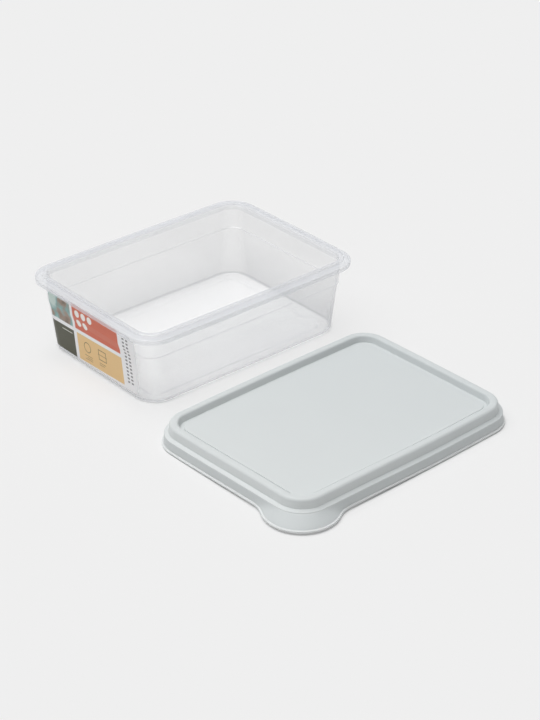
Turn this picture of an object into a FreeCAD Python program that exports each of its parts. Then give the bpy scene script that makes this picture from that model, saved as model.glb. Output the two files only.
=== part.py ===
"""Rectangular food storage tub with a push-on lid and a side label, in millimetres.

The tub is thin moulded plastic, open at the top, with a stepped, turned-down rim and a shoulder
low in its walls where stacked tubs stop. The lid lies beside it, flat on the same floor, top up:
a raised ridge that fits over the tub's rim surrounds a sunken panel, and at one corner the skirt
flares out into a tab for the fingers. The label is a thin wrap on one short wall of the tub.

Every outline is a soft rectangle: four slightly bowed sides joined by round corners, each arc
tangent to the next, so an inset outline keeps the same arc centres. Sections are given as
(inset, z): inset is measured inwards from the piece's outermost outline, z up from the floor.
"""

import FreeCAD, Part
import math
import os

from FreeCAD import Vector

# --- Tub ---------------------------------------------------------------------------------------
TUB_LENGTH = 240.0
TUB_WIDTH = 175.0
TUB_HEIGHT = 71.0
TUB_CORNER = 24.5            # corner radius of the rim's outer edge
TUB_BOW_LONG = 0.8           # how far a long side bows out at its middle
TUB_BOW_SHORT = 0.5
WALL = 0.9                   # moulded wall thickness
WALL_INSET = 9.5             # rim's outer edge to the wall's outer face
DRAFT = 1.2                  # degrees, every wall leans in towards the base
JOIN_DROP = 8.0              # the rim's section ends this far below the crest
CREST_WIDTH = 4.3            # crest round the mouth, where the rim is highest
CREST_ROUND = 0.9
SEAT_INSET = 3.1             # flat seat outside the crest, for the lid's ledge
SEAT_DROP = 1.9
BRIM_DROP = 2.3              # lower brim outside the seat
BRIM_ROUND = 0.7
GROOVE_DROP = 3.2            # fine groove round the rim's outer face
GROOVE_DEPTH = 0.6
RIM_DROP = 6.8               # foot of the turned-down rim
RIM_SKIN = 1.2               # its thickness
STEP_LEAN = 0.3              # the rim's low steps lean inwards by this much
SHOULDER_DROP = 24.5         # the stacking shoulder, below the crest
SHOULDER_STEP = 1.3          # how far the wall steps in there
SHOULDER_FALL = 0.5          # height of the step's slope
BASE_CORNER = 22.0           # the wall's corners widen to this radius at the base
BASE_ROUND = 4.0             # rounding between wall and base
CORNER_STRIPS = 6            # strips in which a widening corner is drawn
FLOOR = 1.0                  # floor thickness
PANEL_MARGIN = 12.0          # foot ring's width round the raised middle of the base
PANEL_RISE = 0.8
PANEL_CORNER = 12.0
PANEL_LEAN = 0.6             # how far its edge leans in as it rises

# --- Lid ---------------------------------------------------------------------------------------
LID_LENGTH = 248.0           # over the lip at the skirt's foot, without the tab
LID_WIDTH = 184.5
LID_CORNER = 28.5
LID_BOW_LONG = 1.6
LID_BOW_SHORT = 0.9
LID_WALL = 1.3
LIP_OUT = 1.4                # the lip at the foot stands out this far from the skirt
LIP_BOTTOM = 1.1             # and stays clear of the floor
LIP_TOP = 2.0
SKIRT_TOP = 8.4              # where the skirt turns in to the ledge
SKIRT_TOP_INSET = 2.3
LEDGE_HEIGHT = 11.4
LEDGE_RISE = 0.8             # the ledge slopes up by this much to the ridge
LEDGE_ROUND = 2.0            # rounding of the skirt's top edge
LEDGE_LEAN = 0.3             # how far the skirt leans in below that rounding
RIDGE_FOOT_INSET = 5.6       # crease between ledge and ridge
RIDGE_OUTER_INSET = 7.0
RIDGE_INNER_INSET = 13.4
RIDGE_HEIGHT = 19.4
RIDGE_ROUND = 2.0            # rounding of the ridge's outer edge, and half that inside
WELL_INSET = 15.0            # foot of the ridge's inner wall
WELL_HEIGHT = 13.6           # channel round the panel
PANEL_EDGE_INSET = 18.4
LID_PANEL_RISE = 0.4         # the middle panel stands this far above the channel
TAB_RADIUS = 32.0
TAB_SHIFT = 5.5              # tab's centre, out from the corner's centre along both sides
TAB_BLEND = 26.0             # hollow curve between tab and side

# --- Label -------------------------------------------------------------------------------------
LABEL_FILM = 0.15
LABEL_BOTTOM = 5.0
LABEL_TOP = 58.5
LABEL_NEAR_EDGE = -57.5      # across the wall, towards the lid
LABEL_FAR_EDGE = 68.0        # wraps into the far corner
LABEL_ROUND = 4.0
LABEL_SLACK = 6.0            # height over which the film eases across the shoulder

# --- Roundings in the swept sections are drawn as chords, which keeps every face a plain cone -----
CHORD_TURN = 46.0            # degrees that one chord turns at most
CHAMFER_RADIUS = 1.5         # a smaller rounding is a single chord

# --- Layout: how the lid lies beside the tub -----------------------------------------------------
LID_AHEAD = -200.5           # lid's middle from the tub's middle, across the tub
LID_ASIDE = -14.6            # and along it
LID_TURN = 1.3               # degrees


def direction(degrees):
    """Unit vector in the floor plane."""
    return Vector(math.cos(math.radians(degrees)), math.sin(math.radians(degrees)), 0)


def bearing(start, end):
    """Angle in degrees of the line from start to end."""
    return math.degrees(math.atan2(end.y - start.y, end.x - start.x))


def meet(centre_a, radius_a, centre_b, radius_b, near):
    """Where two circles meet, the crossing that is closer to the point near."""
    apart = centre_b - centre_a
    gap = apart.Length
    along = (gap**2 + radius_a**2 - radius_b**2) / (2 * gap)
    across = math.sqrt(radius_a**2 - along**2)
    unit = apart * (1 / gap)
    foot = centre_a + unit * along
    normal = Vector(-unit.y, unit.x, 0)
    return min((foot + normal * across, foot - normal * across), key=lambda p: (p - near).Length)


class Bend:
    """One arc of an outline. It turns from one bearing to another about its centre; hollow arcs
    have their centre outside the outline, so that an inset makes their radius larger."""

    def __init__(self, centre, radius, start, end, hollow=False):
        self.centre = centre
        self.radius = radius
        self.start = start
        turn = (end - start) % 360
        self.turn = turn - 360 if hollow else turn
        self.side = -1 if hollow else 1

    def edges(self, inset, z, strips):
        """The arc at an inset and a height, divided into equal strips."""
        radius = self.radius - self.side * inset
        step = self.turn / (2 * strips)
        on_arc = [self.centre + direction(self.start + step * i) * radius + Vector(0, 0, z)
                  for i in range(2 * strips + 1)]
        return [Part.Arc(*on_arc[i:i + 3]).toShape() for i in range(0, 2 * strips, 2)]

    def sweep(self, section):
        """Turns a section face, drawn in the XZ plane as (-inset, z), along this arc."""
        face = section.copy()
        if self.side < 0:
            face = face.mirror(Vector(0, 0, 0), Vector(1, 0, 0))
        face.translate(Vector(self.radius, 0, 0))
        face.rotate(Vector(0, 0, 0), Vector(0, 0, 1), self.start)
        face.translate(self.centre)
        return face.revolve(self.centre, Vector(0, 0, 1), self.turn)


def bow_radius(length, bow):
    """Radius of a side that stands out by the bow at its middle."""
    return ((length / 2)**2 + bow**2) / (2 * bow)


class SoftRectangle:
    """Bowed sides and round corners, listed anticlockwise from the +X side."""

    def __init__(self, length, width, corner, radius_long, radius_short):
        self.half = Vector(length / 2, width / 2, 0)
        self.corner = corner
        self.radius_long = radius_long
        self.radius_short = radius_short
        self.centre_long = Vector(0, self.half.y - radius_long, 0)
        self.centre_short = Vector(self.half.x - radius_short, 0, 0)
        self.corner_centre = meet(
            self.centre_long, radius_long - corner,
            self.centre_short, radius_short - corner, self.half)
        self.long_end = bearing(self.centre_long, self.corner_centre)
        self.short_end = bearing(self.centre_short, self.corner_centre)

    def within(self, inset, corner):
        """A smaller outline, parallel to this one along its sides, with other corners."""
        return SoftRectangle(2 * (self.half.x - inset), 2 * (self.half.y - inset), corner,
                             self.radius_long - inset, self.radius_short - inset)

    def bends(self):
        """The eight arcs of the plain outline."""
        right, top = self.centre_short, self.centre_long
        at = self.corner_centre
        sides = (
            (right, self.radius_short, -self.short_end, self.short_end),
            (at, self.corner, self.short_end, self.long_end),
            (top, self.radius_long, self.long_end, 180 - self.long_end),
            (Vector(-at.x, at.y, 0), self.corner, 180 - self.long_end, 180 - self.short_end),
            (right * -1, self.radius_short, 180 - self.short_end, 180 + self.short_end),
            (at * -1, self.corner, 180 + self.short_end, 180 + self.long_end),
            (top * -1, self.radius_long, 180 + self.long_end, -self.long_end),
            (Vector(at.x, -at.y, 0), self.corner, -self.long_end, -self.short_end),
        )
        return [Bend(*side) for side in sides]

    def tab_parts(self):
        """Centres of the tab at the -X -Y corner and of the two hollow curves that blend it in."""
        tab = self.corner_centre * -1 - Vector(TAB_SHIFT, TAB_SHIFT, 0)
        reach = TAB_RADIUS + TAB_BLEND
        on_short = meet(self.centre_short * -1, self.radius_short + TAB_BLEND, tab, reach,
                        tab + Vector(-reach, reach, 0))
        on_long = meet(self.centre_long * -1, self.radius_long + TAB_BLEND, tab, reach,
                       tab + Vector(reach, -reach, 0))
        return on_short, tab, on_long

    def ten_bends(self, with_tab):
        """The outline in ten arcs: with the tab, or plain but divided where the tab begins."""
        plain = self.bends()
        on_short, tab, on_long = self.tab_parts()
        left, below = self.centre_short * -1, self.centre_long * -1
        leave = bearing(left, on_short)
        rejoin = bearing(below, on_long)
        upper = Bend(left, self.radius_short, 180 - self.short_end, leave)
        lower = Bend(below, self.radius_long, rejoin, -self.long_end)
        if with_tab:
            middle = [
                Bend(on_short, TAB_BLEND, leave + 180, bearing(on_short, tab), hollow=True),
                Bend(tab, TAB_RADIUS, bearing(tab, on_short), bearing(tab, on_long)),
                Bend(on_long, TAB_BLEND, bearing(on_long, tab), rejoin + 180, hollow=True),
            ]
        else:
            middle = [
                Bend(left, self.radius_short, leave, 180 + self.short_end),
                plain[5],
                Bend(below, self.radius_long, 180 + self.long_end, rejoin),
            ]
        return plain[:4] + [upper] + middle + [lower] + plain[7:]


def wire(bends, inset, z, strips=1):
    """Closed outline at an inset and a height; its corners may be divided into strips."""
    edges = []
    for bend in bends:
        is_corner = bend.radius < TUB_WIDTH / 2
        edges += bend.edges(inset, z, strips if is_corner else 1)
    return Part.Wire(edges)


def plate(bends, inset, low, high):
    """Flat plate that fills an outline."""
    return Part.Face(wire(bends, inset, low)).extrude(Vector(0, 0, high - low))


def loft(*wires):
    """Solid with straight walls from each wire to the next."""
    return Part.makeLoft(list(wires), True, True)


def rounded(before, corner, after, radius):
    """Points along a rounding of the corner between two straight runs."""
    to_before = (before - corner).normalize()
    to_after = (after - corner).normalize()
    half = to_before.getAngle(to_after) / 2
    centre = corner + (to_before + to_after).normalize() * (radius / math.sin(half))
    start = corner + to_before * (radius / math.tan(half)) - centre
    end = corner + to_after * (radius / math.tan(half)) - centre
    turn = math.pi - 2 * half
    steps = 1 if radius < CHAMFER_RADIUS else math.ceil(math.degrees(turn) / CHORD_TURN)
    turns = [turn * step / steps for step in range(steps + 1)]
    return [centre + (start * math.sin(turn - t) + end * math.sin(t)) * (1 / math.sin(turn))
            for t in turns]


def section(points):
    """Face in the XZ plane from (inset, z) corners. A third value is the radius that rounds a
    corner off."""
    corners = [Vector(-point[0], 0, point[1]) for point in points]
    outline = []
    for index, point in enumerate(points):
        if len(point) == 2:
            run = [corners[index]]
        else:
            after = corners[(index + 1) % len(corners)]
            run = rounded(corners[index - 1], corners[index], after, point[2])
        outline += [spot for spot in run if not outline or not spot.isEqual(outline[-1], 1e-6)]
    return Part.Face(Part.makePolygon(outline + outline[:1]))


def swept(bends, face):
    """The section carried round the whole outline."""
    pieces = [bend.sweep(face) for bend in bends]
    return pieces[0].fuse(pieces[1:]).removeSplitter()


class Tub:
    """The tub's outlines at their heights, and its solids."""

    def __init__(self):
        self.outline = SoftRectangle(
            TUB_LENGTH, TUB_WIDTH, TUB_CORNER,
            bow_radius(TUB_LENGTH, TUB_BOW_LONG), bow_radius(TUB_WIDTH, TUB_BOW_SHORT))
        self.join = TUB_HEIGHT - JOIN_DROP
        self.shoulder = TUB_HEIGHT - SHOULDER_DROP
        self.lean = math.tan(math.radians(DRAFT))
        self.above_step = WALL_INSET + (self.join - self.shoulder) * self.lean
        self.below_step = self.above_step + SHOULDER_STEP
        self.base_inset = self.below_step + (self.shoulder - SHOULDER_FALL) * self.lean
        self.base = self.outline.within(self.base_inset, BASE_CORNER)

    def body(self, shrink, slack=0.0):
        """Everything inside the wall's face, shrunk by a thickness, from the base's rounding up.
        Slack lets the step ease in over a greater height, as a film does that spans it."""
        around, base = self.outline.bends(), self.base.bends()
        step_foot = self.shoulder - SHOULDER_FALL - slack
        step_inset = self.below_step + slack * self.lean + shrink
        mouth = wire(around, WALL_INSET + shrink, self.join)
        shoulder = wire(around, self.above_step + shrink, self.shoulder)
        upper = loft(mouth, shoulder, wire(around, step_inset, step_foot))
        lower = loft(wire(around, step_inset, step_foot, CORNER_STRIPS),
                     wire(base, shrink, BASE_ROUND, CORNER_STRIPS))
        return upper.fuse(lower)

    def base_edge(self):
        """Rounding between wall and floor, outside and inside."""
        reach = 2 * BASE_ROUND
        points = [
            (WALL, BASE_ROUND),
            (0, BASE_ROUND),
            (0, 0, BASE_ROUND),
            (reach, 0),
            (reach, FLOOR),
            (WALL, FLOOR, BASE_ROUND - FLOOR),
        ]
        return swept(self.base.bends(), section(points))

    def rim(self):
        """Crest, seat, brim and turned-down edge, joined to a short length of wall."""
        top = TUB_HEIGHT
        mouth = WALL_INSET + WALL
        crest = mouth - CREST_WIDTH
        groove = top - GROOVE_DROP
        foot = top - RIM_DROP
        under = top - SEAT_DROP - RIM_SKIN
        points = [
            (WALL_INSET, self.join),
            (mouth, self.join),
            (mouth, top, CREST_ROUND),
            (crest, top, CREST_ROUND),
            (crest - STEP_LEAN, top - SEAT_DROP),
            (SEAT_INSET, top - SEAT_DROP),
            (SEAT_INSET - STEP_LEAN, top - BRIM_DROP),
            (0, top - BRIM_DROP, BRIM_ROUND),
            (0, groove + GROOVE_DEPTH / 2),
            (GROOVE_DEPTH, groove),
            (0, groove - GROOVE_DEPTH / 2),
            (0, foot, BRIM_ROUND),
            (RIM_SKIN, foot),
            (RIM_SKIN, under),
            (WALL_INSET, under),
        ]
        return swept(self.outline.bends(), section(points))

    def solid(self):
        walls = self.body(0.0).cut(self.body(WALL))
        floor = plate(self.base.bends(), 1.5 * BASE_ROUND, 0.0, FLOOR)
        panel = self.base.within(PANEL_MARGIN, PANEL_CORNER).bends()
        raised = loft(wire(panel, 0.0, FLOOR / 2), wire(panel, PANEL_LEAN, FLOOR + PANEL_RISE))
        hollow = loft(wire(panel, FLOOR, 0.0), wire(panel, FLOOR + PANEL_LEAN, PANEL_RISE))
        return walls.fuse([self.base_edge(), floor, raised, self.rim()]).cut(hollow).removeSplitter()

    def label(self):
        """Thin film that hugs one short wall and eases over the shoulder."""
        film = self.body(-LABEL_FILM, LABEL_SLACK).cut(self.body(0.0, LABEL_SLACK))
        window = Part.makeBox(
            TUB_LENGTH / 2, LABEL_FAR_EDGE - LABEL_NEAR_EDGE, LABEL_TOP - LABEL_BOTTOM,
            Vector(-TUB_LENGTH / 2, LABEL_NEAR_EDGE, LABEL_BOTTOM))
        along_x = [edge for edge in window.Edges if abs(edge.tangentAt(0).x) > 0.5]
        return film.common(window.makeFillet(LABEL_ROUND, along_x)).Solids[0]


class Lid:
    """The lid, lying top up with its skirt's foot on the floor."""

    def __init__(self):
        self.outline = SoftRectangle(
            LID_LENGTH, LID_WIDTH, LID_CORNER,
            bow_radius(LID_LENGTH, LID_BOW_LONG), bow_radius(LID_WIDTH, LID_BOW_SHORT))

    def crown(self):
        """Ledge, ridge and the channel inside it, above the skirt."""
        well, top, skin = WELL_HEIGHT, RIDGE_HEIGHT, LID_WALL
        overlap = 2.0
        points = [
            (SKIRT_TOP_INSET + skin, SKIRT_TOP),
            (SKIRT_TOP_INSET + skin, LEDGE_HEIGHT - LEDGE_RISE - skin),
            (RIDGE_FOOT_INSET + skin, LEDGE_HEIGHT - skin),
            (RIDGE_OUTER_INSET + skin, top - skin),
            (RIDGE_INNER_INSET - skin, top - skin),
            (WELL_INSET - skin, well - skin),
            (PANEL_EDGE_INSET + overlap, well - skin),
            (PANEL_EDGE_INSET + overlap, well),
            (WELL_INSET, well),
            (RIDGE_INNER_INSET, top, RIDGE_ROUND / 2),
            (RIDGE_OUTER_INSET, top, RIDGE_ROUND),
            (RIDGE_FOOT_INSET, LEDGE_HEIGHT),
            (SKIRT_TOP_INSET + LEDGE_LEAN, LEDGE_HEIGHT - LEDGE_RISE, LEDGE_ROUND),
            (SKIRT_TOP_INSET, SKIRT_TOP),
        ]
        return swept(self.outline.bends(), section(points))

    def skirt(self):
        """Skirt that widens from the plain outline at its top to the tabbed one at its foot."""
        plain = self.outline.ten_bends(with_tab=False)
        tabbed = self.outline.ten_bends(with_tab=True)

        def cone(inset):
            return loft(wire(tabbed, LIP_OUT + inset, 0.0),
                        wire(tabbed, LIP_OUT + inset, LIP_TOP),
                        wire(plain, SKIRT_TOP_INSET + inset, SKIRT_TOP))

        lip = plate(tabbed, 0.0, LIP_BOTTOM, LIP_TOP).cut(
            plate(tabbed, LIP_OUT + LID_WALL / 2, 0.0, SKIRT_TOP))
        return cone(0.0).cut(cone(LID_WALL)).fuse(lip)

    def solid(self):
        bends = self.outline.bends()
        panel = plate(bends, PANEL_EDGE_INSET, WELL_HEIGHT - LID_WALL, WELL_HEIGHT + LID_PANEL_RISE)
        return self.crown().fuse([self.skirt(), panel]).removeSplitter()


def main():
    tub = Tub()
    lid = Lid().solid()
    lid.rotate(Vector(0, 0, 0), Vector(0, 0, 1), LID_TURN)
    lid.translate(Vector(LID_ASIDE, LID_AHEAD, 0))
    nodes = {"tub": tub.solid(), "lid": lid, "label": tub.label()}

    # The origin is on the floor, under the middle of the set.
    box = Part.makeCompound(list(nodes.values())).optimalBoundingBox(False)
    to_middle = Vector(-box.Center.x, -box.Center.y, 0)
    os.makedirs("parts", exist_ok=True)
    for name, shape in nodes.items():
        shape.translate(to_middle)
        shape.exportStep(f"parts/{name}.step")
        size = shape.BoundBox
        print(f"{name}: {len(shape.Solids)} solid, valid {shape.isValid()}, "
              f"{size.XLength:.1f} x {size.YLength:.1f} x {size.ZLength:.1f} mm, "
              f"{shape.Volume / 1000:.1f} cm3")
    print(f"tub's middle at {to_middle.x:.2f}, {to_middle.y:.2f}")


main()
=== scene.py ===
# %% [markdown]
# # A clear food tub, its lid and its label
#
# The object is a shallow tub of clear, slightly milky plastic, a grey lid that lies beside it,
# and a printed film label on one short wall of the tub. The solid model that comes with this
# script holds the true sizes. This script gives it its looks: it draws the two moulded pieces
# again as fine smooth meshes, with every small rounding that catches light, makes a plastic for
# each, prints the label, and sets up a plain studio.

# %% [markdown]
# Everything below is in metres in the model's own frame, so places come from the boxes of its
# nodes.

# %% The frame
import math

import bmesh
import bpy
from mathutils import Matrix, Vector


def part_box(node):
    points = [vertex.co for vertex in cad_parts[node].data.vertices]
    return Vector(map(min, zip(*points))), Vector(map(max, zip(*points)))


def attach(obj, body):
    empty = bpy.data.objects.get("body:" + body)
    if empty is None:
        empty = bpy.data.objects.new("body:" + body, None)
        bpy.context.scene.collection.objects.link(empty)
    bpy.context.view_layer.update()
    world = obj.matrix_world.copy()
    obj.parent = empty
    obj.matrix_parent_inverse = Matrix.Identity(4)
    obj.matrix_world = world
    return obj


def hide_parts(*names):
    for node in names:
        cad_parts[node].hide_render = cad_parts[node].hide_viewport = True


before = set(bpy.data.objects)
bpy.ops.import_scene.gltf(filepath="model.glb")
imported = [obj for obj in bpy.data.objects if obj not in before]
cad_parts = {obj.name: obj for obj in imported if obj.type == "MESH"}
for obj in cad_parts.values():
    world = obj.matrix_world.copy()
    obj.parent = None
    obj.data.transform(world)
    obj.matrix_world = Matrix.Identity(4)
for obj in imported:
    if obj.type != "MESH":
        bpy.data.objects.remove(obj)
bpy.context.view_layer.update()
MM = 0.001


def middle(node):
    """Centre of a node's box, on the floor."""
    low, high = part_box(node)
    return Vector(((low[0] + high[0]) / 2, (low[1] + high[1]) / 2, 0))


# %% [markdown]
# ## Shader arithmetic
#
# A material's pattern is easier to read as a formula than as a web of nodes. The class below
# wraps one output socket of a node. Adding or multiplying wrapped sockets, or taking the lower of
# two, adds the Math node that does it, so a mask can be written as `inside * (1 - edge)`.

# %% Socket wrapper and node maker
class Value:
    """An output socket that can be used in plain arithmetic."""

    def __init__(self, finish, socket):
        self.finish = finish
        self.socket = socket

    def _math(self, operation, first, second=None, clamp=False):
        inputs = {0: first} if second is None else {0: first, 1: second}
        return self.finish.node("ShaderNodeMath", {"operation": operation, "use_clamp": clamp},
                                inputs)

    def __add__(self, other):
        return self._math("ADD", self, other)

    def __radd__(self, other):
        return self._math("ADD", other, self)

    def __sub__(self, other):
        return self._math("SUBTRACT", self, other)

    def __rsub__(self, other):
        return self._math("SUBTRACT", other, self)

    def __mul__(self, other):
        return self._math("MULTIPLY", self, other)

    def __rmul__(self, other):
        return self._math("MULTIPLY", other, self)

    def __truediv__(self, other):
        return self._math("DIVIDE", self, other)

    def __rtruediv__(self, other):
        return self._math("DIVIDE", other, self)

    def __pow__(self, other):
        return self._math("POWER", self, other)

    def __abs__(self):
        return self._math("ABSOLUTE", self)

    def clamp(self):
        return self._math("ADD", self, 0.0, clamp=True)

    def lowest(self, other):
        return self._math("MINIMUM", self, other)

    def highest(self, other):
        return self._math("MAXIMUM", self, other)

    def cycle(self, period):
        """Distance into the current period, for what repeats."""
        return self._math("FLOORED_MODULO", self, period)


class Finish:
    """One material under construction. Node types and sockets carry Blender's own names."""

    def __init__(self, name):
        self.material = bpy.data.materials.new(name)
        self.material.use_nodes = True
        self.tree = self.material.node_tree
        self.tree.nodes.clear()

    def node(self, kind, settings=None, inputs=None, out=0):
        """Adds a node: its settings first, then the values or links of its sockets."""
        made = self.tree.nodes.new(kind)
        for key, value in (settings or {}).items():
            if key == "stops":
                for index, (place, colour) in enumerate(value):
                    stops = made.color_ramp.elements
                    stop = stops[index] if index < len(stops) else stops.new(place)
                    stop.position = place
                    stop.color = (*colour, 1.0)
            else:
                setattr(made, key, value)
        for key, value in (inputs or {}).items():
            if isinstance(value, Value):
                self.tree.links.new(value.socket, made.inputs[key])
            else:
                made.inputs[key].default_value = value
        return Value(self, made.outputs[out]) if made.outputs else None

    def place(self):
        """Position on the object, in metres, as three wrapped numbers."""
        where = self.node("ShaderNodeTexCoord", out="Object")
        return [self.node("ShaderNodeSeparateXYZ", inputs={0: where}, out=axis)
                for axis in range(3)]

    def facing(self):
        """Which way the surface faces, as three wrapped numbers."""
        normal = self.node("ShaderNodeTexCoord", out="Normal")
        return [self.node("ShaderNodeSeparateXYZ", inputs={0: normal}, out=axis)
                for axis in range(3)]

    def noise(self, scale, detail=2.0, roughness=0.5):
        """Cloudy pattern between 0 and 1, with scale in lumps per metre."""
        where = self.node("ShaderNodeTexCoord", out="Object")
        return self.node("ShaderNodeTexNoise", inputs={
            "Vector": where, "Scale": scale, "Detail": detail, "Roughness": roughness})

    def blend(self, amount, first, second):
        """Mixes two colours by a mask."""
        return self.node("ShaderNodeMix", {"data_type": "RGBA"}, {
            0: amount, 6: first, 7: second}, out=2)

    def bump(self, height, distance, strength=1.0):
        return self.node("ShaderNodeBump", inputs={
            "Height": height, "Distance": distance, "Strength": strength})

    def done(self, surface):
        self.node("ShaderNodeOutputMaterial", inputs={"Surface": surface})
        print(self.material.name, len(self.tree.nodes), "nodes")
        return self.material


def rgb(red, green, blue):
    """Colour written as eight-bit display values, turned into the renderer's linear ones."""
    def linear(value):
        share = value / 255
        return share / 12.92 if share <= 0.04045 else ((share + 0.055) / 1.055) ** 2.4
    return (linear(red), linear(green), linear(blue), 1.0)


# %% [markdown]
# ## Outlines and sections
#
# Both moulded pieces follow soft rectangles: four sides that bow out a little, joined by round
# corners. Each side and corner is an arc, and an inset outline keeps the arcs' centres. A piece
# is then a stack of such rings, one for each point of its section. A subdivided box could give a
# similar shape, but rings keep each rounding exactly where the mould has it.

# %% Arcs and rings
def direction(angle):
    return Vector((math.cos(angle), math.sin(angle), 0))


def bearing(start, end):
    return math.atan2(end.y - start.y, end.x - start.x)


def meet(centre_a, radius_a, centre_b, radius_b, near):
    """The crossing of two circles that is closer to the point near."""
    apart = centre_b - centre_a
    along = (apart.length**2 + radius_a**2 - radius_b**2) / (2 * apart.length)
    across = math.sqrt(radius_a**2 - along**2)
    unit = apart.normalized()
    foot = centre_a + unit * along
    normal = Vector((-unit.y, unit.x, 0))
    return min((foot + normal * across, foot - normal * across), key=lambda p: (p - near).length)


class Bend:
    """One arc of an outline, anticlockwise. A hollow one has its centre outside."""

    def __init__(self, centre, radius, start, end, steps, hollow=False):
        self.centre = centre
        self.radius = radius
        self.start = start
        turn = (end - start) % math.tau
        self.turn = turn - math.tau if hollow else turn
        self.side = -1 if hollow else 1
        self.steps = steps

    def points(self, inset):
        """Points along the arc, without its last, which the next arc repeats."""
        radius = self.radius - self.side * inset
        angles = (self.start + self.turn * step / self.steps for step in range(self.steps))
        return [self.centre + direction(angle) * radius for angle in angles]


def bow_radius(length, bow):
    return ((length / 2)**2 + bow**2) / (2 * bow)


class SoftRectangle:
    """Bowed sides and round corners, in metres."""
    corner_steps = 18
    side_steps = 12

    def __init__(self, half_x, half_y, corner, radius_long, radius_short):
        self.half = Vector((half_x, half_y, 0))
        self.corner = corner
        self.radius_long = radius_long
        self.radius_short = radius_short
        self.centre_long = Vector((0, half_y - radius_long, 0))
        self.centre_short = Vector((half_x - radius_short, 0, 0))
        self.corner_centre = meet(self.centre_long, radius_long - corner,
                                  self.centre_short, radius_short - corner, self.half)
        self.long_end = bearing(self.centre_long, self.corner_centre)
        self.short_end = bearing(self.centre_short, self.corner_centre)

    def within(self, inset, corner):
        return SoftRectangle(self.half.x - inset, self.half.y - inset, corner,
                             self.radius_long - inset, self.radius_short - inset)

    def bends(self):
        right, top, at = self.centre_short, self.centre_long, self.corner_centre
        short, long = self.short_end, self.long_end
        side, turn = self.side_steps, self.corner_steps
        return [
            Bend(right, self.radius_short, -short, short, side),
            Bend(at, self.corner, short, long, turn),
            Bend(top, self.radius_long, long, math.pi - long, side),
            Bend(Vector((-at.x, at.y, 0)), self.corner, math.pi - long, math.pi - short, turn),
            Bend(-right, self.radius_short, math.pi - short, math.pi + short, side),
            Bend(-at, self.corner, math.pi + short, math.pi + long, turn),
            Bend(-top, self.radius_long, math.pi + long, -long, side),
            Bend(Vector((at.x, -at.y, 0)), self.corner, -long, -short, turn),
        ]


def ring(bends, inset, z):
    return [point + Vector((0, 0, z)) for bend in bends for point in bend.points(inset)]


def between(first, second, share):
    """Ring part of the way from one ring to another."""
    return [a.lerp(b, share) for a, b in zip(first, second)]


def towards_middle(outer):
    """Rings that shrink from the outer one to the middle, to fill a flat panel evenly."""
    return [[Vector((p.x * share, p.y * share, p.z)) for p in outer]
            for share in (0.85, 0.65, 0.45, 0.25, 0.08)]


# %% [markdown]
# A section is a short list of corners, each as (inset, height) in millimetres. A third number
# rounds that corner off. The helper turns the list into points, with enough of them on each
# rounding to look smooth, and the mesh builder joins one ring to the next.

# %% Sections and meshes
def rounded(before, corner, after, radius, steps):
    """Points on the arc that rounds a corner between two straight runs."""
    to_before = (before - corner).normalized()
    to_after = (after - corner).normalized()
    half = to_before.angle(to_after) / 2
    centre = corner + (to_before + to_after).normalized() * (radius / math.sin(half))
    start = corner + to_before * (radius / math.tan(half)) - centre
    end = corner + to_after * (radius / math.tan(half)) - centre
    turn = math.pi - 2 * half
    turns = [turn * step / steps for step in range(steps + 1)]
    return [centre + (start * math.sin(turn - t) + end * math.sin(t)) / math.sin(turn)
            for t in turns]


def section(corners, steps=5):
    """Open run of (inset, z) points in metres, from corners in millimetres."""
    spots = [Vector((corner[0], corner[1])) * MM for corner in corners]
    run = []
    for index, corner in enumerate(corners):
        if len(corner) == 2:
            run.append(spots[index])
        else:
            run += rounded(spots[index - 1], spots[index], spots[index + 1],
                           corner[2] * MM, steps)
    return run


def skin(name, rings, at, turned=0.0):
    """Closed mesh through a stack of rings; the first and the last are filled in."""
    mesh = bpy.data.meshes.new(name)
    work = bmesh.new()
    rows = [[work.verts.new(point) for point in each] for each in rings]
    count = len(rows[0])
    for lower, upper in zip(rows, rows[1:]):
        for i in range(count):
            j = (i + 1) % count
            work.faces.new((lower[i], lower[j], upper[j], upper[i]))
    work.faces.new(list(reversed(rows[0])))
    work.faces.new(rows[-1])
    bmesh.ops.recalc_face_normals(work, faces=work.faces)
    bmesh.ops.rotate(work, verts=work.verts, matrix=Matrix.Rotation(turned, 3, "Z"))
    bmesh.ops.translate(work, verts=work.verts, vec=at)
    for face in work.faces:
        face.smooth = True
    work.to_mesh(mesh)
    work.free()
    piece = bpy.data.objects.new(name, mesh)
    bpy.context.collection.objects.link(piece)
    print(name, len(mesh.polygons), "faces")
    return piece


# %% [markdown]
# ## The tub
#
# The tub is one moulding about a millimetre thick. From the mouth outwards its rim has a raised
# crest, a flat seat for the lid, a slightly lower brim, a fine groove and a turned-down edge.
# Below the rim the wall leans in, steps in at the stacking shoulder, and ends in a round edge at
# the base. The corners widen on their way down. All of it is one skin: inside up, over the rim,
# and outside down.

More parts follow.
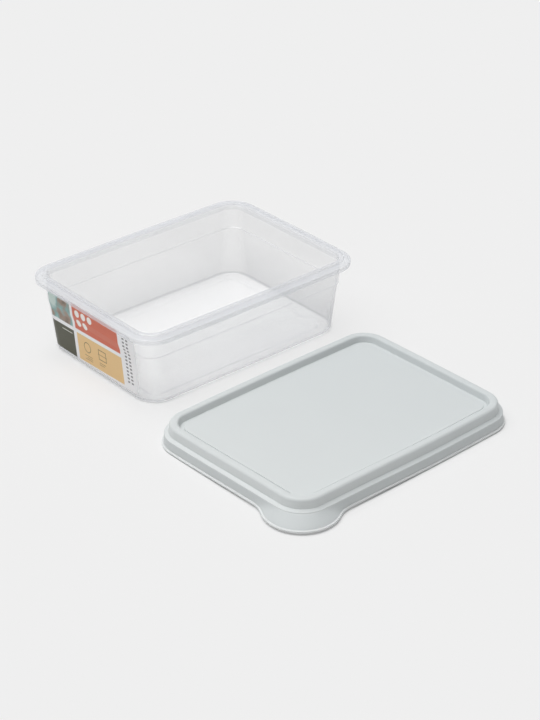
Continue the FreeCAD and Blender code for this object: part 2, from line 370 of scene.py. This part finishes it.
# %% Tub sizes
TUB_CORNER = 24.5 * MM       # outlines are in metres
BASE_CORNER = 22.0 * MM
TUB_BOW_LONG = 0.8 * MM
TUB_BOW_SHORT = 0.5 * MM
WALL = 0.9                   # and from here on sections, in millimetres
WALL_INSET = 9.5             # rim's outer edge to the wall's outer face
LEAN = math.tan(math.radians(1.2))
JOIN_DROP = 8.0              # the rim's section ends this far below the crest
CREST_WIDTH = 4.3
CREST_ROUND = 0.9
SEAT_INSET = 3.1             # flat seat for the lid, outside the crest
SEAT_DROP = 1.9
BRIM_DROP = 2.3              # lower brim outside the seat
BRIM_ROUND = 0.7
GROOVE_DROP = 3.2            # fine groove round the rim's outer face
GROOVE_DEPTH = 0.5
RIM_DROP = 6.8               # foot of the turned-down edge
RIM_SKIN = 1.2
STEP_LEAN = 0.3
SHOULDER_DROP = 24.5         # stacking shoulder, below the crest
SHOULDER_STEP = 1.3
SHOULDER_FALL = 0.5
BASE_ROUND = 4.0
FLOOR = 1.0
PANEL_MARGIN = 12.0
PANEL_RISE = 0.8
TINY = 0.05                  # keeps a rounding just short of the whole run that it ends
print("tub wall", WALL, "mm, rim", RIM_DROP, "mm deep")


# %% Tub rings
def tub_rings():
    low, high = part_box("tub")
    size = Vector(high) - Vector(low)
    top = size.z / MM
    around = SoftRectangle(size.x / 2, size.y / 2, TUB_CORNER,
                           bow_radius(size.x, TUB_BOW_LONG), bow_radius(size.y, TUB_BOW_SHORT))
    shoulder = top - SHOULDER_DROP
    above = WALL_INSET + (top - JOIN_DROP - shoulder) * LEAN
    below = above + SHOULDER_STEP
    foot = shoulder - SHOULDER_FALL
    base_inset = below + foot * LEAN
    base = around.within(base_inset * MM, BASE_CORNER)
    outline, base_line = around.bends(), base.bends()

    def wall(shrink, upwards):
        """Rings of one face of the wall, between the base's rounding and the step."""
        bottom = ring(base_line, shrink * MM, BASE_ROUND * MM)
        upper = ring(outline, (below + shrink) * MM, foot * MM)
        shares = [0.0, 0.02, 0.25, 0.5, 0.75, 0.98, 1.0]
        rings = [between(bottom, upper, share) for share in shares]
        return rings if upwards else rings[::-1]

    inner_round = BASE_ROUND - FLOOR
    floor_run = section([
        (PANEL_MARGIN + 4.0, FLOOR + PANEL_RISE),
        (PANEL_MARGIN + 1.2, FLOOR + PANEL_RISE, 0.5),
        (PANEL_MARGIN, FLOOR, 0.5),
        (BASE_ROUND + 1.5, FLOOR),
        (WALL, FLOOR, inner_round - TINY),
        (WALL, BASE_ROUND),
    ])
    mouth = WALL_INSET + WALL
    rim_run = section([
        (below + WALL, foot),
        (above + WALL + 0.15, shoulder, 0.6),
        (mouth, top - JOIN_DROP),
        (mouth, top, CREST_ROUND),
        (mouth - CREST_WIDTH, top, CREST_ROUND),
        (mouth - CREST_WIDTH - STEP_LEAN, top - SEAT_DROP, 0.3),
        (SEAT_INSET, top - SEAT_DROP, 0.15),
        (SEAT_INSET - STEP_LEAN, top - BRIM_DROP, 0.1),
        (0, top - BRIM_DROP, BRIM_ROUND),
        (0, top - GROOVE_DROP + 0.35, 0.08),
        (GROOVE_DEPTH, top - GROOVE_DROP, 0.15),
        (0, top - GROOVE_DROP - 0.3, 0.08),
        (0, top - RIM_DROP, BRIM_ROUND),
        (RIM_SKIN, top - RIM_DROP, 0.3),
        (RIM_SKIN, top - SEAT_DROP - RIM_SKIN, 0.6),
        (WALL_INSET, top - SEAT_DROP - RIM_SKIN, 1.0),
        (WALL_INSET, top - JOIN_DROP),
        (above, shoulder, 0.2),
        (below, foot),
    ])
    under_run = section([
        (0, BASE_ROUND),
        (0, 0, BASE_ROUND - TINY),
        (BASE_ROUND + 1.5, 0),
        (PANEL_MARGIN + 1.0, 0, 0.5),
        (PANEL_MARGIN + 2.0, PANEL_RISE, 0.5),
        (PANEL_MARGIN + 4.0, PANEL_RISE),
    ])
    rings = towards_middle(ring(base_line, floor_run[0].x, floor_run[0].y))[::-1]
    rings += [ring(base_line, p.x, p.y) for p in floor_run[:-1]]
    rings += wall(WALL, True)[:-1]
    rings += [ring(outline, p.x, p.y) for p in rim_run]
    rings += wall(0.0, False)[1:]
    rings += [ring(base_line, p.x, p.y) for p in under_run[1:]]
    return rings + towards_middle(rings[-1])


# %% Tub piece
tub = skin("tub_body", tub_rings(), middle("tub"))
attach(tub, "root")
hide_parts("tub")

# %% [markdown]
# This plastic is clear but a little milky. Real refraction through a wall this thin bends light
# too little to see, but it would block the lamps and cost noise. So each face lets most light
# straight through and scatters a share of it as white haze. Where a face is seen edge-on the
# light has further to go inside, so the haze thickens there, which draws the rim and the
# corners. On top lies a faint mirror coat, which also grows towards the edge-on view. A plain
# Fresnel node would make a full mirror of each slanting face that is met from behind, because it
# takes the light to be inside solid plastic there, so the coat is worked out from the angle.
#
# The haze and its tone change over the moulding: the thick rim is denser and darker, the rounding
# at the base is denser and carries a painted shade along the floor, the shoulder draws a fine
# line, the walls carry a painted shade that darkens them on their way down, and the flat bottom,
# which lies on pale paper, is the clearest and is painted lighter, a painted light. Each is a
# mask made from the height, and below the rim also from how upright the surface is.

# %% Tub plastic values
HAZE = 0.12                  # share of light that one face scatters, seen squarely
FLOW_HAZE = 0.03             # its drift in soft clouds
RIM_HAZE = 0.07              # more of it in the thick rim
BASE_HAZE = 0.18             # and in the rounding at the base
STEP_HAZE = 0.40             # the fine line along the shoulder
LOW_SHADE_HAZE = 0.04              # more haze lower down, part of the painted shade there
LOW_HEIGHT = 44.0            # from this height, in millimetres
PLATE_CLEAR = 0.03           # a little less in the flat bottom
BASE_TOP = 3.6               # the rounding's haze starts below this height
PLATE_TOP = 2.4              # and the bottom's clearness and painted light below this one
STEP_REACH = 0.6             # half the height of the shoulder's line
EDGE_ON = 0.22               # smallest slant that counts, so that haze stays finite
MIRROR = 0.040               # share that plastic mirrors, seen squarely
GLANCE = 0.45                # and how much more of it seen edge-on
SHADE = 0.85                 # share of the haze that counts when a lamp shines through
WALL_TONE = rgb(235, 235, 236)
# painted shade: the wall's scatter turns darker towards the floor
LOW_SHADE_TONE = rgb(196, 197, 200)
RIM_TONE = rgb(224, 226, 231)
CREST_TONE = rgb(206, 209, 216)
# painted shade: the base's rounding, beside the floor, is drawn much darker
BASE_SHADE_TONE = rgb(150, 153, 160)
# painted light: the flat bottom is drawn brighter, as if fully lit from above
PLATE_LIGHT_TONE = rgb(251, 251, 252)
STEP_TONE = rgb(170, 176, 184)
GLOW_TONE = rgb(230, 232, 235)
CLEAR = (1, 1, 1, 1)
print("one face scatters", HAZE, "and mirrors", MIRROR)


# %% Tub plastic
def tub_plastic():
    finish = Finish("tub_plastic")
    height = finish.place()[2] / MM
    top = (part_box("tub")[1][2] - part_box("tub")[0][2]) / MM
    upright = 1 - abs(finish.facing()[2])
    wall = (upright * 2.0).clamp()
    rim = (height - (top - RIM_DROP - 0.4)).clamp()
    crest = (height - (top - SEAT_DROP - 0.2)).clamp()
    # the base's rounding: denser haze, and with its dark tone a painted shade
    base = ((BASE_TOP - height) * 0.5).clamp() * wall
    # the flat bottom: less haze, and a lighter tone that is painted light
    clear_lit_plate = ((PLATE_TOP - height) * 2.0).clamp() * (1 - upright * 3.0).clamp()
    # painted shade: a mask that darkens the wall's haze lower down
    low = (1 - height / LOW_HEIGHT).clamp() * wall
    step = (1 - abs(height - (top - SHOULDER_DROP - 0.4)) / STEP_REACH).clamp() * upright
    flow = finish.noise(14.0, 2.0)
    ripple = finish.bump(finish.noise(45.0, 1.0), 0.3 * MM, 0.12)
    aside = finish.node("ShaderNodeLayerWeight", inputs={"Blend": 0.5}, out="Facing")
    slant = (1 - aside).highest(EDGE_ON)
    per_face = (HAZE + (flow - 0.5) * FLOW_HAZE + rim * RIM_HAZE + base * BASE_HAZE
                + step * STEP_HAZE + low * LOW_SHADE_HAZE - clear_lit_plate * PLATE_CLEAR)
    lit = finish.node("ShaderNodeLightPath", out="Is Shadow Ray")
    haze_level = (1 - (1 - per_face) ** (1 / slant)) * (1 - lit * (1 - SHADE))
    through = finish.node("ShaderNodeBsdfTransparent", inputs={"Color": CLEAR})
    # painted shade lower down the wall
    tone = finish.blend(low, WALL_TONE, LOW_SHADE_TONE)
    tone = finish.blend(rim, tone, RIM_TONE)
    tone = finish.blend(crest * 0.5, tone, CREST_TONE)
    # painted shade along the base
    tone = finish.blend(base, tone, BASE_SHADE_TONE)
    # painted light on the flat bottom
    tone = finish.blend(clear_lit_plate, tone, PLATE_LIGHT_TONE)
    tone = finish.blend(step, tone, STEP_TONE)
    scatter = finish.node("ShaderNodeBsdfPrincipled", inputs={
        "Base Color": tone, "Roughness": 0.6, "Specular IOR Level": 0.0})
    glow = finish.node("ShaderNodeBsdfTranslucent", inputs={"Color": GLOW_TONE})
    milk = finish.node("ShaderNodeMixShader", inputs={0: 0.4, 1: scatter, 2: glow})
    body = finish.node("ShaderNodeMixShader", inputs={0: haze_level, 1: through, 2: milk})
    coat = finish.node("ShaderNodeBsdfGlossy", inputs={
        "Color": CLEAR, "Roughness": 0.18, "Normal": ripple})
    mirrored = (MIRROR + GLANCE * aside ** 5) * (1 - lit)
    return finish.done(finish.node("ShaderNodeMixShader", inputs={
        0: mirrored, 1: body, 2: coat}))


tub.data.materials.append(tub_plastic())

# %% [markdown]
# ## The lid
#
# The lid is a thicker, softer moulding. From its foot inwards: a small lip, a skirt, a sloping
# ledge, a raised ridge that takes the tub's rim, a channel and a panel that stands a hair
# higher. At one corner the skirt flares out into a round tab. The flare blends from the plain
# outline at the skirt's top to the tabbed outline at its foot, and it is a little steeper near
# the foot. Such a lid is never quite flat: the corner with the tab stands off the floor by about
# a millimetre and a half, which opens a dark gap under it.

# %% Lid sizes
LID_TURN = math.radians(1.3)
LID_LENGTH = 248.0 * MM
LID_WIDTH = 184.5 * MM
LID_CORNER = 28.5 * MM
LID_BOW_LONG = 1.6 * MM
LID_BOW_SHORT = 0.9 * MM
LID_WALL = 1.3
LIP_OUT = 1.4                # how far the lip stands out from the skirt's foot
LIP_BOTTOM = 0.35
LIP_TOP = 2.0
SKIRT_TOP = 9.5
SKIRT_TOP_INSET = 2.0
LEDGE_HEIGHT = 11.2
LEDGE_FALL = 1.2             # the ledge drops this much towards its outer edge
LEDGE_INSET = 5.6            # foot of the ridge
RIDGE_HEIGHT = 19.4
RIDGE_OUTER = 6.5
RIDGE_INNER = 13.4
WELL_HEIGHT = 13.6
WELL_INSET = 15.0
PANEL_EDGE = 18.4
LID_PANEL_RISE = 0.8
FLARE = 1.15                 # above 1, the flare is steeper at its foot
WARP = 1.6 * MM              # lift of the corner with the tab
WARP_FLAT = 55.0 * MM        # full lift as far as this from that corner
WARP_END = 165.0 * MM        # and none from here on
TAB_RADIUS = 32.0 * MM
TAB_SHIFT = 5.5 * MM         # tab's centre, out from the corner's centre along both sides
TAB_BLEND = 26.0 * MM        # hollow curve between tab and side
TAB_CORNER = Vector((-LID_LENGTH / 2, -LID_WIDTH / 2, 0))
print("lid wall", LID_WALL, "mm, ridge", RIDGE_HEIGHT, "mm high")


# %% Lid outline
class LidOutline(SoftRectangle):
    """The lid's outline in ten arcs, with or without its tab, point for point alike."""
    tab_steps = 26
    blend_steps = 14

    def ten_bends(self, with_tab):
        tab = -self.corner_centre - Vector((TAB_SHIFT, TAB_SHIFT, 0))
        reach = TAB_RADIUS + TAB_BLEND
        left, below = -self.centre_short, -self.centre_long
        on_short = meet(left, self.radius_short + TAB_BLEND, tab, reach,
                        tab + Vector((-reach, reach, 0)))
        on_long = meet(below, self.radius_long + TAB_BLEND, tab, reach,
                       tab + Vector((reach, -reach, 0)))
        leave, rejoin = bearing(left, on_short), bearing(below, on_long)
        plain = self.bends()
        short, long = self.short_end, self.long_end
        upper = Bend(left, self.radius_short, math.pi - short, leave, self.side_steps)
        lower = Bend(below, self.radius_long, rejoin, -long, self.side_steps)
        if with_tab:
            tabbed = [
                Bend(on_short, TAB_BLEND, leave + math.pi, bearing(on_short, tab),
                     self.blend_steps, hollow=True),
                Bend(tab, TAB_RADIUS, bearing(tab, on_short), bearing(tab, on_long),
                     self.tab_steps),
                Bend(on_long, TAB_BLEND, bearing(on_long, tab), rejoin + math.pi,
                     self.blend_steps, hollow=True),
            ]
        else:
            tabbed = [
                Bend(left, self.radius_short, leave, math.pi + short, self.blend_steps),
                Bend(plain[5].centre, self.corner, math.pi + short, math.pi + long,
                     self.tab_steps),
                Bend(below, self.radius_long, math.pi + long, rejoin, self.blend_steps),
            ]
        return plain[:4] + [upper] + tabbed + [lower] + plain[7:]


# %% Flare and plain outline
def flared(lower, upper, share):
    """Ring between two, which stays near the lower outline for longer than a straight blend."""
    blended = between(lower, upper, share ** FLARE)
    level = lower[0].z + (upper[0].z - lower[0].z) * share
    return [Vector((point.x, point.y, level)) for point in blended]


def lid_outline():
    return LidOutline(LID_LENGTH / 2, LID_WIDTH / 2, LID_CORNER,
                      bow_radius(LID_LENGTH, LID_BOW_LONG),
                      bow_radius(LID_WIDTH, LID_BOW_SHORT))


# %% Lid rings
def lid_rings():
    outline = lid_outline()
    tabbed, plain = outline.ten_bends(True), outline.ten_bends(False)
    wall = LID_WALL

    def skirt(inset, top, upwards):
        """Rings of one face of the skirt."""
        bottom = ring(tabbed, (LIP_OUT + inset) * MM, LIP_TOP * MM)
        upper = ring(plain, (SKIRT_TOP_INSET + inset) * MM, top * MM)
        shares = [0.0, 0.05, 0.2, 0.4, 0.6, 0.8, 0.9, 0.96, 1.0]
        rings = [flared(bottom, upper, share) for share in shares]
        return rings if upwards else rings[::-1]

    inner_run = section([
        (SKIRT_TOP_INSET + wall, SKIRT_TOP - wall),
        (SKIRT_TOP_INSET + wall + 0.1, LEDGE_HEIGHT - LEDGE_FALL - wall, 0.3),
        (LEDGE_INSET + wall, LEDGE_HEIGHT - wall, 0.3),
        (RIDGE_OUTER + wall + 0.5, RIDGE_HEIGHT - wall, 0.5),
        (RIDGE_INNER - wall, RIDGE_HEIGHT - wall, 0.5),
        (WELL_INSET - wall, WELL_HEIGHT - wall, 0.3),
        (PANEL_EDGE + 3.0, WELL_HEIGHT - wall),
    ])
    outer_run = section([
        (SKIRT_TOP_INSET, SKIRT_TOP),
        (SKIRT_TOP_INSET + 0.1, LEDGE_HEIGHT - LEDGE_FALL, 0.5),
        (LEDGE_INSET, LEDGE_HEIGHT, 0.2),
        (RIDGE_OUTER, RIDGE_HEIGHT, 2.4),
        (RIDGE_INNER, RIDGE_HEIGHT, 2.0),
        (WELL_INSET, WELL_HEIGHT, 0.4),
        (PANEL_EDGE, WELL_HEIGHT, 0.1),
        (PANEL_EDGE + 0.1, WELL_HEIGHT + LID_PANEL_RISE, 0.12),
        (PANEL_EDGE + 3.0, WELL_HEIGHT + LID_PANEL_RISE),
    ])
    lip_run = section([
        (LIP_OUT + wall, LIP_TOP),
        (LIP_OUT + wall, 0, 0.15),
        (LIP_OUT, 0, 0.15),
        (LIP_OUT, LIP_BOTTOM, 0.1),
        (0, LIP_BOTTOM, 0.3),
        (0, LIP_TOP, 0.6),
        (LIP_OUT, LIP_TOP),
    ])
    rings = towards_middle(ring(plain, inner_run[-1].x, inner_run[-1].y))[::-1]
    rings += [ring(plain, p.x, p.y) for p in reversed(inner_run)]
    rings += skirt(wall, SKIRT_TOP - wall, False)[1:]
    rings += [ring(tabbed, p.x, p.y) for p in lip_run[1:-1]]
    rings += skirt(0.0, SKIRT_TOP, True)
    rings += [ring(plain, p.x, p.y) for p in outer_run[1:]]
    return warped(rings + towards_middle(rings[-1]))


def warped(rings):
    """Lifts the corner with the tab, in a smooth bend."""
    def lift(point):
        away = Vector((point.x, point.y, 0)) - TAB_CORNER
        share = (WARP_END - away.length) / (WARP_END - WARP_FLAT)
        share = min(max(share, 0.0), 1.0)
        return WARP * share * share * (3 - 2 * share)

    return [[point + Vector((0, 0, lift(point))) for point in each] for each in rings]


# %% Lid place and piece
def lid_place():
    """Where the lid's outline is centred: its box is uneven because of the tab."""
    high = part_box("lid")[1]
    turn = Matrix.Rotation(LID_TURN, 3, "Z")
    turned = [turn @ point for point in ring(lid_outline().bends(), 0.0, 0.0)]
    return Vector((high[0] - max(p.x for p in turned), high[1] - max(p.y for p in turned), 0))


lid = skin("lid_body", lid_rings(), lid_place(), LID_TURN)
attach(lid, "root")
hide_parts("lid")

# %% [markdown]
# The lid's plastic is a pale grey with a touch of green and the very fine grain of an etched
# mould. Its tone drifts a little from one end to the other and in soft clouds. The skirt is
# painted a shade darker, a painted shade on its upright faces, and the thin lip, through which
# light passes, is painted lighter, a painted light. An ambient occlusion node paints a darker
# colour into the narrow creases, a painted shade where shade gathers. The masks for skirt and lip
# need the height above the lid's own foot, so the warp is worked out once more in the shader.

# %% Lid plastic values
def height_on_lid(finish):
    """Height above the lid's own foot in millimetres, with the warp taken off again."""
    x, y, z = finish.place()
    corner = lid_place() + Matrix.Rotation(LID_TURN, 3, "Z") @ TAB_CORNER
    away = ((x - corner.x) ** 2 + (y - corner.y) ** 2) ** 0.5
    share = ((WARP_END - away) / (WARP_END - WARP_FLAT)).clamp()
    return (z - WARP * share * share * (3 - share * 2)) / MM


LID_LEFT_TONE = rgb(214, 218, 218)
LID_RIGHT_TONE = rgb(205, 210, 211)
# painted shade: the skirt's upright faces are drawn darker
SKIRT_SHADE_TONE = rgb(196, 201, 202)
# painted light: the thin lip is drawn lighter, as if lit through
LIP_LIGHT_TONE = rgb(222, 225, 225)
# painted shade in the narrow creases
CREASE_SHADE_TONE = rgb(140, 147, 146)
CREASE_REACH = 1.2 * MM
MARGIN = 0.3                 # a mask ends this far above the edge that it follows


# %% Lid plastic
def lid_plastic():
    finish = Finish("lid_plastic")
    along = (finish.place()[0] - middle("lid").x) / (LID_LENGTH / 2)
    cloud = finish.noise(9.0, 3.0)
    across = (0.5 + along * 0.4 + (cloud - 0.5) * 0.3).clamp()
    colour = finish.blend(across, LID_LEFT_TONE, LID_RIGHT_TONE)
    height = height_on_lid(finish)
    # painted shade on the skirt
    skirt = (SKIRT_TOP + MARGIN - height).clamp()
    colour = finish.blend(skirt * 0.6, colour, SKIRT_SHADE_TONE)
    # painted light on the thin lip
    lip = ((LIP_TOP + MARGIN - height) * 4.0).clamp()
    colour = finish.blend(lip, colour, LIP_LIGHT_TONE)
    # painted shade: ambient occlusion darkens the colour in the creases
    open_sky = finish.node("ShaderNodeAmbientOcclusion", {"samples": 8}, {
        "Distance": CREASE_REACH}, out="AO")
    colour = finish.blend((1 - open_sky) * 0.4, colour, CREASE_SHADE_TONE)
    grain = finish.noise(1600.0, 2.0, 0.6)
    return finish.done(finish.node("ShaderNodeBsdfPrincipled", inputs={
        "Base Color": colour, "Roughness": 0.45 + cloud * 0.08, "Specular IOR Level": 0.35,
        "Normal": finish.bump(grain, 0.12 * MM, 0.6)}))


lid.data.materials.append(lid_plastic())

# %% [markdown]
# ## The label
#
# The label is a thin white film with plain printed fields. The solid model already has the film
# where it wraps the wall, so only its print is made here, as a formula on height and on the
# place across the wall. Every field is a mask with sharp edges: a rectangle, a disc or a ring.
# The print is generic: colour fields, dots, small outline drawings and rows of short bars.

# %% Printing masks
SHARP = 6.0                  # how fast a printed edge turns from 0 to 1, per millimetre


class Print:
    """Masks in the label's own millimetres: across to the left and up. The film was stuck on
    with a slight turn, so both run a little askew to the wall."""
    lean = 0.1               # sideways for each millimetre down from the top
    rise = 0.03              # upwards for each millimetre across from the pivot
    top = 57
    pivot = 30

    def __init__(self, finish):
        across, height = [value / MM for value in finish.place()[1:]]
        across = across - middle("tub").y / MM
        self.across = across + self.lean * (self.top - height)
        self.up = height - self.rise * (self.pivot - across)

    def box(self, left, right, bottom, top):
        sides = ((left - self.across) * SHARP).lowest((self.across - right) * SHARP)
        ends = ((top - self.up) * SHARP).lowest((self.up - bottom) * SHARP)
        return sides.lowest(ends).clamp()

    def disc(self, across, up, radius):
        away = ((self.across - across) ** 2 + (self.up - up) ** 2) ** 0.5
        return ((radius - away) * SHARP).clamp()

    def ring(self, across, up, radius, line):
        return self.disc(across, up, radius) - self.disc(across, up, radius - line)

    def frame(self, left, right, bottom, top, line):
        return (self.box(left, right, bottom, top)
                - self.box(left - line, right + line, bottom + line, top - line))


def all_of(masks):
    """Mask that shows where any of the given ones does."""
    joined = masks[0]
    for mask in masks[1:]:
        joined = joined.highest(mask)
    return joined


# %% [markdown]
# The print itself is a list of layers, each a mask and its colour, laid over the white film one
# after the other. All places are in millimetres, across from the wall's middle and up from the
# floor. The upper left field has soft clouds of colour instead of a picture.

# %% Label colours
FILM = rgb(240, 240, 242)
OLIVE = rgb(66, 66, 44)
PALE_LINE = rgb(225, 225, 215)
RED = rgb(209, 101, 70)
CREAM = rgb(244, 240, 236)
OCHRE = rgb(230, 194, 136)
BROWN_LINE = rgb(98, 80, 52)
GREY_LINE = rgb(120, 120, 124)
CLOUD_TONES = [(0.30, rgb(96, 84, 70)[:3]), (0.42, rgb(150, 128, 112)[:3]),
               (0.52, rgb(126, 168, 166)[:3]), (0.66, rgb(196, 214, 208)[:3])]


def cloud_field(finish):
    """Soft clouds of brown, teal and pale colour."""
    drift = finish.noise(70.0, 2.0, 0.4)
    return finish.node("ShaderNodeValToRGB", {"stops": CLOUD_TONES}, {0: drift})


# %% Label print
def label_print():
    finish = Finish("label_film")
    sheet = Print(finish)
    colour = finish.blend(sheet.box(66.5, 34.3, 34, 57.5), FILM, cloud_field(finish))
    dots = [sheet.disc(24 - 9 * i, 50.5, 3.4) for i in range(3)]
    dots += [sheet.disc(24 - 9 * i, 41.5, 3.4) for i in range(2)]
    drawings = [sheet.ring(16, 21, 5.0, 0.6), sheet.frame(0, -11, 16, 26, 0.6)]
    drawings += [sheet.box(21 - 3 * (i % 2), 10, 12.6 - 1.8 * i, 13.2 - 1.8 * i)
                 for i in range(3)]
    drawings += [sheet.box(0, -9 + 2 * (i % 2), 12.6 - 1.8 * i, 13.2 - 1.8 * i)
                 for i in range(2)]
    drawings += [sheet.box(1, -12, 20.7, 21.3)]
    dashes = ((1.7 - sheet.up.cycle(3.4)) * SHARP).clamp()
    columns = [sheet.box(-40.0 - 5 * i, -43.0 - 5 * i, 10, 53) for i in range(2)]
    layers = [
        (sheet.box(66.5, 34.2, 4.8, 30.5), OLIVE),
        (sheet.box(52, 37, 26.3, 27.1), PALE_LINE),
        (sheet.box(31.0, -33.8, 34.3, 60), RED),
        (all_of(dots), CREAM),
        (sheet.box(30.0, -34.3, 5.5, 31.0), OCHRE),
        (all_of(drawings), BROWN_LINE),
        (all_of(columns) * dashes, GREY_LINE),
    ]
    for mask, paint in layers:
        colour = finish.blend(mask, colour, paint)
    return finish.done(finish.node("ShaderNodeBsdfPrincipled", inputs={
        "Base Color": colour, "Roughness": 0.32,
        "Normal": finish.bump(finish.noise(60.0, 2.0), 0.2 * MM, 0.25)}))


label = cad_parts["label"]
label.data.materials.clear()
label.data.materials.append(label_print())

# %% [markdown]
# ## Studio
#
# A large pale floor, an even sky and one very soft lamp high on the left give the plain light
# of a product table. The sky is a little dim as a light, so that upright faces fall off gently,
# but where it is seen or mirrored it has the floor's own pale tone, with a broad bright panel
# that the plastic can mirror.
#
# Product tables keep their shadows faint. To the camera the floor is therefore partly a steady
# pale tone of its own. Close to the object's foot that share fades out, so contact stays dark,
# except where the floor is seen through the clear tub.

# %% Floor
FLOOR_TONE = rgb(239, 239, 239)
STEADY = 0.65                # share of the floor's tone that no shadow touches
CONTACT = 2.5 * MM           # how far from the object's foot that share is faded out
FLOOR_HALF = 6.0             # metres from the middle to the floor's edge
FLOOR_GAP = 0.2 * MM         # it lies this far below, so that no two faces share a plane


def floor_paper():
    finish = Finish("floor_paper")
    seen = finish.node("ShaderNodeLightPath", out="Is Camera Ray")
    layers = finish.node("ShaderNodeLightPath", out="Transparent Depth")
    open_floor = finish.node("ShaderNodeAmbientOcclusion", {"samples": 8}, {
        "Distance": CONTACT}, out="AO")
    clear = (open_floor * 2.0 - 1.0).clamp()
    steady = seen * STEADY * clear.highest(layers.lowest(1.0))
    paper = finish.node("ShaderNodeBsdfDiffuse", inputs={"Color": FLOOR_TONE})
    tone = finish.node("ShaderNodeEmission", inputs={"Color": FLOOR_TONE, "Strength": 1.0})
    return finish.done(finish.node("ShaderNodeMixShader", inputs={0: steady, 1: paper, 2: tone}))


def make_floor():
    mesh = bpy.data.meshes.new("floor")
    work = bmesh.new()
    bmesh.ops.create_grid(work, x_segments=2, y_segments=2, size=FLOOR_HALF)
    bmesh.ops.translate(work, verts=work.verts, vec=(0, 0, -FLOOR_GAP))
    work.to_mesh(mesh)
    work.free()
    floor = bpy.data.objects.new("floor", mesh)
    bpy.context.collection.objects.link(floor)
    floor.data.materials.append(floor_paper())


make_floor()

# %% [markdown]
# The world is made with the same helpers as a material. It has two looks: the dim one lights the
# object, and the pale one is what the camera and mirrored rays meet. The lamp is a sun with a
# very wide disc, so that its shadows have no edge.

# %% Sky and lamp
SKY_LEVEL = 0.29
LAMP_LEVEL = 0.71
LAMP_HEIGHT = math.radians(75)
LAMP_SPREAD = math.radians(60)
LAMP_SIDE = Vector((-0.75, 0.60, 0)).normalized()
PANEL_SIDE = Vector((0.45, 0.60, 0.66)).normalized()
PANEL_LEVEL = 1.2
PANEL_REACH = 0.72           # cosine of the angle from the panel's middle to its edge
PANEL_FADE = 5.0             # how fast it comes up from there


class Sky(Finish):
    """The world is built with the same helpers as a material."""

    def __init__(self, name):
        world = bpy.data.worlds.new(name)
        bpy.context.scene.world = world
        world.use_nodes = True
        self.tree = world.node_tree
        self.tree.nodes.clear()


def make_sky():
    sky = Sky("studio")
    camera_ray, glossy_ray, clear_ray = [
        sky.node("ShaderNodeLightPath", out=f"Is {kind} Ray")
        for kind in ("Camera", "Glossy", "Transmission")]
    towards = sky.node("ShaderNodeTexCoord", out="Generated")
    ahead = sky.node("ShaderNodeVectorMath", {"operation": "DOT_PRODUCT"}, {
        0: towards, 1: PANEL_SIDE}, out="Value")
    panel = ((ahead - PANEL_REACH) * PANEL_FADE).clamp() * glossy_ray
    dim = (SKY_LEVEL, SKY_LEVEL, SKY_LEVEL, 1)
    bright = (PANEL_LEVEL, PANEL_LEVEL, PANEL_LEVEL, 1)
    tone = sky.blend(camera_ray.highest(glossy_ray).highest(clear_ray), dim, FLOOR_TONE)
    tone = sky.blend(panel, tone, bright)
    glow = sky.node("ShaderNodeBackground", inputs={"Color": tone, "Strength": 1.0})
    sky.node("ShaderNodeOutputWorld", inputs={"Surface": glow})


def make_lamp():
    data = bpy.data.lights.new("soft_lamp", "SUN")
    data.energy = LAMP_LEVEL * math.pi / math.sin(LAMP_HEIGHT)
    data.angle = LAMP_SPREAD
    lamp = bpy.data.objects.new("soft_lamp", data)
    bpy.context.collection.objects.link(lamp)
    towards = LAMP_SIDE * math.cos(LAMP_HEIGHT) + Vector((0, 0, math.sin(LAMP_HEIGHT)))
    lamp.rotation_euler = towards.to_track_quat("Z", "Y").to_euler()


make_sky()
make_lamp()

# %% [markdown]
# ## Camera
#
# The camera looks down on the set from the label's side with a long lens, so the tub and the
# lid both show their near corner.

# %% Camera
CAMERA_FROM_TUB = Vector((-0.9639, -1.2234, 0.86925))
CAMERA_DOWN = 0.522          # radians below level
CAMERA_TURN = -0.710


def make_camera():
    data = bpy.data.cameras.new("camera")
    data.lens = 100.0
    data.sensor_width = 36.0
    camera = bpy.data.objects.new("camera", data)
    bpy.context.collection.objects.link(camera)
    camera.location = middle("tub") + CAMERA_FROM_TUB
    camera.rotation_euler = (math.pi / 2 - CAMERA_DOWN, 0.0, CAMERA_TURN)
    bpy.context.scene.camera = camera
    print("camera at", [round(value, 3) for value in camera.location])


make_camera()

# %% [markdown]
# ## View settings
#
# The plain Standard view shows colours as they are written. The clear tub puts many layers one
# behind the other, so rays may pass through more of them than usual before they stop.

# %% View settings
scene = bpy.context.scene
scene.view_settings.view_transform = "Standard"
scene.cycles.transparent_max_bounces = 32
scene.cycles.max_bounces = 16
